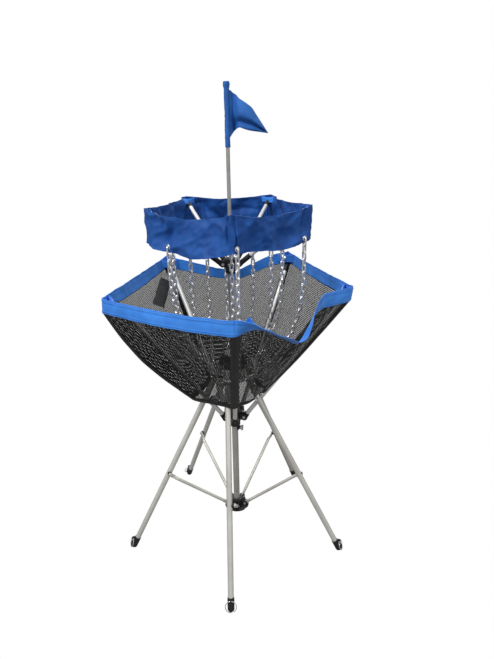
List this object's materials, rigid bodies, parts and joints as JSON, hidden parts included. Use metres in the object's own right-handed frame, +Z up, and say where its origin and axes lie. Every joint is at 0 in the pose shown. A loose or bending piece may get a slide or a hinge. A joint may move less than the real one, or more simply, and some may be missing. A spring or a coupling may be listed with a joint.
{
  "type": "disc golf basket",
  "caption": "Portable disc golf target: folding splayed legs under a pole, an umbrella basket of net with a cloth rim, hanging chains below a cloth band, and a pennant.",
  "frame": {"origin": "ground point under the pole, midway between the feet", "axes": "+Z up along the pole; +X to the right and +Y to the back, seen from the side that leg 0 faces"},
  "size_m": [0.6612, 0.6447, 1.3297],
  "materials": {
    "pole_aluminium": "satin anodised tube",
    "leg_aluminium": "satin warm grey tube",
    "arm_aluminium": "satin tube",
    "black_hub": "moulded black nylon",
    "black_fitting": "moulded black nylon",
    "dark_sleeve": "dark grey tube",
    "grey_cap": "light grey moulding",
    "bright_steel": "bright rivets and eyelets",
    "ring_steel": "plated spring wire",
    "chain_steel": "bright zinc plate",
    "blue_cloth": "woven nylon",
    "flag_cloth": "woven nylon",
    "black_net": "fine knitted net"
  },
  "bodies": {
    "pole": {"lower_pole": "pole_aluminium", "lower_hub": "black_hub", "lower_pins": "bright_steel", "pole_collar": "black_hub"},
    "sleeve": {"sleeve_tube": "dark_sleeve", "arm_hub": "black_hub", "leg_hub": "black_hub", "leg_hub_cap": "grey_cap", "sleeve_pins": "bright_steel", "rim_band": "blue_cloth", "basket_net": "black_net"},
    "lock_knob": {"lock_knob": "bright_steel"},
    "top_pole": {"upper_pole": "pole_aluminium", "top_hub": "black_hub", "top_pins": "bright_steel", "top_band": "blue_cloth", "grommets": "bright_steel", "chains": "chain_steel"},
    "flagpole": {"flagpole": "pole_aluminium", "flag": "flag_cloth"},
    "leg_0": {"leg_tube_0": "leg_aluminium", "leg_fittings_0": "black_fitting"},
    "strut_0": {"strut_0": "leg_aluminium"},
    "arm_0": {"arm_tube_0": "arm_aluminium", "arm_fittings_0": "black_fitting"},
    "band_arm_0": {"band_arm_tube_0": "arm_aluminium", "band_arm_fittings_0": "black_fitting"},
    "stake_ring_0": {"stake_ring_0": "ring_steel"},
    "leg_1": {"leg_tube_1": "leg_aluminium", "leg_fittings_1": "black_fitting"},
    "strut_1": {"strut_1": "leg_aluminium"},
    "arm_1": {"arm_tube_1": "arm_aluminium", "arm_fittings_1": "black_fitting"},
    "band_arm_1": {"band_arm_tube_1": "arm_aluminium", "band_arm_fittings_1": "black_fitting"},
    "stake_ring_1": {"stake_ring_1": "ring_steel"},
    "leg_2": {"leg_tube_2": "leg_aluminium", "leg_fittings_2": "black_fitting"},
    "strut_2": {"strut_2": "leg_aluminium"},
    "arm_2": {"arm_tube_2": "arm_aluminium", "arm_fittings_2": "black_fitting"},
    "band_arm_2": {"band_arm_tube_2": "arm_aluminium", "band_arm_fittings_2": "black_fitting"},
    "stake_ring_2": {"stake_ring_2": "ring_steel"},
    "leg_3": {"leg_tube_3": "leg_aluminium", "leg_fittings_3": "black_fitting"},
    "strut_3": {"strut_3": "leg_aluminium"},
    "arm_3": {"arm_tube_3": "arm_aluminium", "arm_fittings_3": "black_fitting"},
    "band_arm_3": {"band_arm_tube_3": "arm_aluminium", "band_arm_fittings_3": "black_fitting"},
    "stake_ring_3": {"stake_ring_3": "ring_steel"},
    "leg_4": {"leg_tube_4": "leg_aluminium", "leg_fittings_4": "black_fitting"},
    "strut_4": {"strut_4": "leg_aluminium"},
    "arm_4": {"arm_tube_4": "arm_aluminium", "arm_fittings_4": "black_fitting"},
    "band_arm_4": {"band_arm_tube_4": "arm_aluminium", "band_arm_fittings_4": "black_fitting"},
    "stake_ring_4": {"stake_ring_4": "ring_steel"}
  },
  "joints": [
    {"name": "frame_fold", "type": "slide", "parent": "pole", "child": "sleeve", "axis": [0, 0, 1], "range_m": [0, 0.12923]},
    {"name": "pole_collapse", "type": "slide", "parent": "pole", "child": "top_pole", "axis": [0, 0, -1], "range_m": [0, 0.09], "deforming": ["chains"]},
    {"name": "flagpole_lift", "type": "slide", "parent": "top_pole", "child": "flagpole", "axis": [0, 0, 1], "range_m": [0, 0.06]},
    {"name": "lock_pull", "type": "slide", "parent": "sleeve", "child": "lock_knob", "axis": [0.9613, -0.2756, 0], "range_m": [0, 0.005], "stiffness_N_per_m": 900, "springref_m": -0.003},
    {"name": "leg_hinge_0", "type": "hinge", "parent": "sleeve", "child": "leg_0", "pos_m": [-0.01748, -0.02437, 0.5911], "axis": [0.9998, -0.0194, 0], "range_deg": [0, 26.44]},
    {"name": "strut_hinge_0", "type": "hinge", "parent": "pole", "child": "strut_0", "pos_m": [-0.00034, -0.0279, 0.0969], "axis": [-0.9998, 0.0194, 0], "range_deg": [0, 48.47]},
    {"name": "arm_hinge_0", "type": "hinge", "parent": "sleeve", "child": "arm_0", "pos_m": [0.00052, -0.0308, 0.4129], "axis": [-0.9999, -0.0168, 0], "range_deg": [0, 25]},
    {"name": "band_arm_hinge_0", "type": "hinge", "parent": "top_pole", "child": "band_arm_0", "pos_m": [0.00042, -0.025, 0.881], "axis": [-0.9999, -0.0168, 0], "range_deg": [0, 50]},
    {"name": "ring_swing_0", "type": "hinge", "parent": "leg_0", "child": "stake_ring_0", "pos_m": [-0.02348, -0.33428, 0.03437], "axis": [-0.9998, 0.0194, 0], "range_deg": [0, 100]},
    {"name": "leg_hinge_1", "type": "hinge", "parent": "sleeve", "child": "leg_1", "pos_m": [0.01777, -0.02415, 0.5911], "axis": [0.3274, 0.9449, 0], "range_deg": [0, 26.44]},
    {"name": "strut_hinge_1", "type": "hinge", "parent": "pole", "child": "strut_1", "pos_m": [0.02643, -0.00894, 0.0969], "axis": [-0.3274, -0.9449, 0], "range_deg": [0, 48.47]},
    {"name": "arm_hinge_1", "type": "hinge", "parent": "sleeve", "child": "arm_1", "pos_m": [0.02945, -0.00903, 0.4129], "axis": [-0.293, -0.9561, 0], "range_deg": [0, 25]},
    {"name": "band_arm_hinge_1", "type": "hinge", "parent": "top_pole", "child": "band_arm_1", "pos_m": [0.0239, -0.00733, 0.881], "axis": [-0.293, -0.9561, 0], "range_deg": [0, 50]},
    {"name": "ring_swing_1", "type": "hinge", "parent": "leg_1", "child": "stake_ring_1", "pos_m": [0.31066, -0.12563, 0.03437], "axis": [-0.3274, -0.9449, 0], "range_deg": [0, 100]},
    {"name": "leg_hinge_2", "type": "hinge", "parent": "sleeve", "child": "leg_2", "pos_m": [0.02846, 0.00944, 0.5911], "axis": [-0.7975, 0.6033, 0], "range_deg": [0, 26.44]},
    {"name": "strut_hinge_2", "type": "hinge", "parent": "pole", "child": "strut_2", "pos_m": [0.01667, 0.02237, 0.0969], "axis": [0.7975, -0.6033, 0], "range_deg": [0, 48.47]},
    {"name": "arm_hinge_2", "type": "hinge", "parent": "sleeve", "child": "arm_2", "pos_m": [0.01768, 0.02522, 0.4129], "axis": [0.8188, -0.5741, 0], "range_deg": [0, 25]},
    {"name": "band_arm_hinge_2", "type": "hinge", "parent": "top_pole", "child": "band_arm_2", "pos_m": [0.01435, 0.02047, 0.881], "axis": [0.8188, -0.5741, 0], "range_deg": [0, 50]},
    {"name": "ring_swing_2", "type": "hinge", "parent": "leg_2", "child": "stake_ring_2", "pos_m": [0.21548, 0.25664, 0.03437], "axis": [0.7975, -0.6033, 0], "range_deg": [0, 100]},
    {"name": "leg_hinge_3", "type": "hinge", "parent": "sleeve", "child": "leg_3", "pos_m": [-0.00018, 0.02998, 0.5911], "axis": [-0.8203, -0.572, 0], "range_deg": [0, 26.44]},
    {"name": "strut_hinge_3", "type": "hinge", "parent": "pole", "child": "strut_3", "pos_m": [-0.01612, 0.02277, 0.0969], "axis": [0.8203, 0.572, 0], "range_deg": [0, 48.47]},
    {"name": "arm_hinge_3", "type": "hinge", "parent": "sleeve", "child": "arm_3", "pos_m": [-0.01852, 0.02461, 0.4129], "axis": [0.7991, 0.6013, 0], "range_deg": [0, 25]},
    {"name": "band_arm_hinge_3", "type": "hinge", "parent": "top_pole", "child": "band_arm_3", "pos_m": [-0.01503, 0.01998, 0.881], "axis": [0.7991, 0.6013, 0], "range_deg": [0, 50]},
    {"name": "ring_swing_3", "type": "hinge", "parent": "leg_3", "child": "stake_ring_3", "pos_m": [-0.17749, 0.28424, 0.03437], "axis": [0.8203, 0.572, 0], "range_deg": [0, 100]},
    {"name": "leg_hinge_4", "type": "hinge", "parent": "sleeve", "child": "leg_4", "pos_m": [-0.02857, 0.00909, 0.5911], "axis": [0.2905, -0.9569, 0], "range_deg": [0, 26.44]},
    {"name": "strut_hinge_4", "type": "hinge", "parent": "pole", "child": "strut_4", "pos_m": [-0.02664, -0.0083, 0.0969], "axis": [-0.2905, 0.9569, 0], "range_deg": [0, 48.47]},
    {"name": "arm_hinge_4", "type": "hinge", "parent": "sleeve", "child": "arm_4", "pos_m": [-0.02913, -0.01001, 0.4129], "axis": [-0.3249, 0.9457, 0], "range_deg": [0, 25]},
    {"name": "band_arm_hinge_4", "type": "hinge", "parent": "top_pole", "child": "band_arm_4", "pos_m": [-0.02364, -0.00812, 0.881], "axis": [-0.3249, 0.9457, 0], "range_deg": [0, 50]},
    {"name": "ring_swing_4", "type": "hinge", "parent": "leg_4", "child": "stake_ring_4", "pos_m": [-0.32517, -0.08097, 0.03437], "axis": [-0.2905, 0.9569, 0], "range_deg": [0, 100]}
  ],
  "couplings": [
    {"joint": "leg_hinge_0", "follows": "frame_fold", "rad_per_m": 3.5695},
    {"joint": "strut_hinge_0", "follows": "frame_fold", "rad_per_m": 6.5452},
    {"joint": "leg_hinge_1", "follows": "frame_fold", "rad_per_m": 3.5695},
    {"joint": "strut_hinge_1", "follows": "frame_fold", "rad_per_m": 6.5452},
    {"joint": "arm_hinge_1", "follows": "arm_hinge_0", "ratio": 1},
    {"joint": "band_arm_hinge_1", "follows": "band_arm_hinge_0", "ratio": 1},
    {"joint": "leg_hinge_2", "follows": "frame_fold", "rad_per_m": 3.5695},
    {"joint": "strut_hinge_2", "follows": "frame_fold", "rad_per_m": 6.5452},
    {"joint": "arm_hinge_2", "follows": "arm_hinge_0", "ratio": 1},
    {"joint": "band_arm_hinge_2", "follows": "band_arm_hinge_0", "ratio": 1},
    {"joint": "leg_hinge_3", "follows": "frame_fold", "rad_per_m": 3.5695},
    {"joint": "strut_hinge_3", "follows": "frame_fold", "rad_per_m": 6.5452},
    {"joint": "arm_hinge_3", "follows": "arm_hinge_0", "ratio": 1},
    {"joint": "band_arm_hinge_3", "follows": "band_arm_hinge_0", "ratio": 1},
    {"joint": "leg_hinge_4", "follows": "frame_fold", "rad_per_m": 3.5695},
    {"joint": "strut_hinge_4", "follows": "frame_fold", "rad_per_m": 6.5452},
    {"joint": "arm_hinge_4", "follows": "arm_hinge_0", "ratio": 1},
    {"joint": "band_arm_hinge_4", "follows": "band_arm_hinge_0", "ratio": 1}
  ]
}
